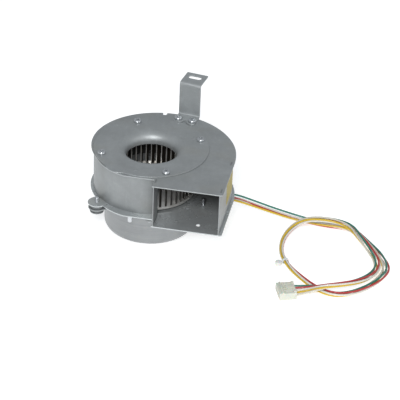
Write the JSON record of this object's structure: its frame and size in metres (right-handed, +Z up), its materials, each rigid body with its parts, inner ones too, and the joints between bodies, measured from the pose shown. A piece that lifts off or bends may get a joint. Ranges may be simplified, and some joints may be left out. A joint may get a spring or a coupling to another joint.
{
  "type": "centrifugal blower",
  "caption": "Small centrifugal combustion blower: squirrel-cage wheel in a sheet-steel scroll housing with bell-mouth inlet, drum motor below, mounting bracket and a free wire lead.",
  "frame": {"origin": "centre of the motor can's flat bottom, on the wheel's axis", "axes": "+Z up along the wheel's axis to the inlet, the outlet faces -Y, the lead leaves towards +X"},
  "size_m": [0.2717, 0.178, 0.1096],
  "materials": {
    "zinc_sheet": "satin, electro-galvanised sheet, lightly brushed",
    "drawn_can": "deep-drawn zinc-plated can with fine turned rings",
    "zinc_screw": "bright zinc-plated screws",
    "wheel_sheet": "galvanised wheel strip, dusty",
    "hub_metal": "turned",
    "ground_steel": "ground and polished",
    "black_rubber": "matt moulded rubber",
    "copper_wire": "enamelled copper",
    "stator_iron": "laminated steel",
    "ferrite": "sintered, dark grey",
    "nylon_natural": "natural nylon",
    "board_green": "solder mask",
    "chip_black": "moulded package",
    "label_paper": "plain tan label, unprinted",
    "wire_pvc": "PVC wire insulation, five colours",
    "connector_nylon": "off-white nylon",
    "tinned_contact": "tinned",
    "tie_white": "white nylon"
  },
  "bodies": {
    "housing": {"base_plate": "zinc_sheet", "scroll_wall": "zinc_sheet", "top_plate": "zinc_sheet", "inlet_plate": "zinc_sheet", "inlet_screws": "zinc_screw", "mounting_bracket": "zinc_sheet", "bracket_screws": "zinc_screw", "side_label": "label_paper", "base_stud": "zinc_screw", "motor_plate": "zinc_sheet", "motor_can": "drawn_can", "can_screws": "zinc_screw", "isolator_grommets": "black_rubber", "isolator_sleeves": "zinc_screw", "motor_washers": "zinc_screw", "motor_screws": "zinc_screw", "bearing_tube": "hub_metal", "lower_bearing_outer": "ground_steel", "upper_bearing_outer": "ground_steel", "bearing_shields": "zinc_screw", "stator_core": "stator_iron", "stator_insulators": "nylon_natural", "stator_coils": "copper_wire", "circuit_board": "board_green", "board_spacers": "nylon_natural", "board_screws": "zinc_screw", "driver_chip": "chip_black", "smoothing_capacitor": "chip_black", "hall_sensors": "chip_black", "cable_grommet": "black_rubber", "wire_harness": "wire_pvc", "connector_housing": "connector_nylon", "connector_terminals": "tinned_contact", "cable_tie": "tie_white"},
    "wheel": {"shaft": "ground_steel", "rotor_boss": "hub_metal", "rotor_cup": "zinc_sheet", "rotor_magnet": "ferrite", "spring_washer": "zinc_screw", "retaining_clip": "zinc_screw", "lower_bearing_inner": "ground_steel", "upper_bearing_inner": "ground_steel", "lower_bearing_balls": "ground_steel", "upper_bearing_balls": "ground_steel", "wheel_back_plate": "wheel_sheet", "wheel_front_ring": "wheel_sheet", "wheel_blades": "wheel_sheet", "wheel_hub": "hub_metal", "hub_rivets": "zinc_screw", "hub_set_screw": "stator_iron"}
  },
  "joints": [
    {"name": "wheel_spin", "type": "hinge", "parent": "housing", "child": "wheel", "pos_m": [0, 0, 0.0554], "axis": [0, 0, 1], "continuous": true}
  ]
}
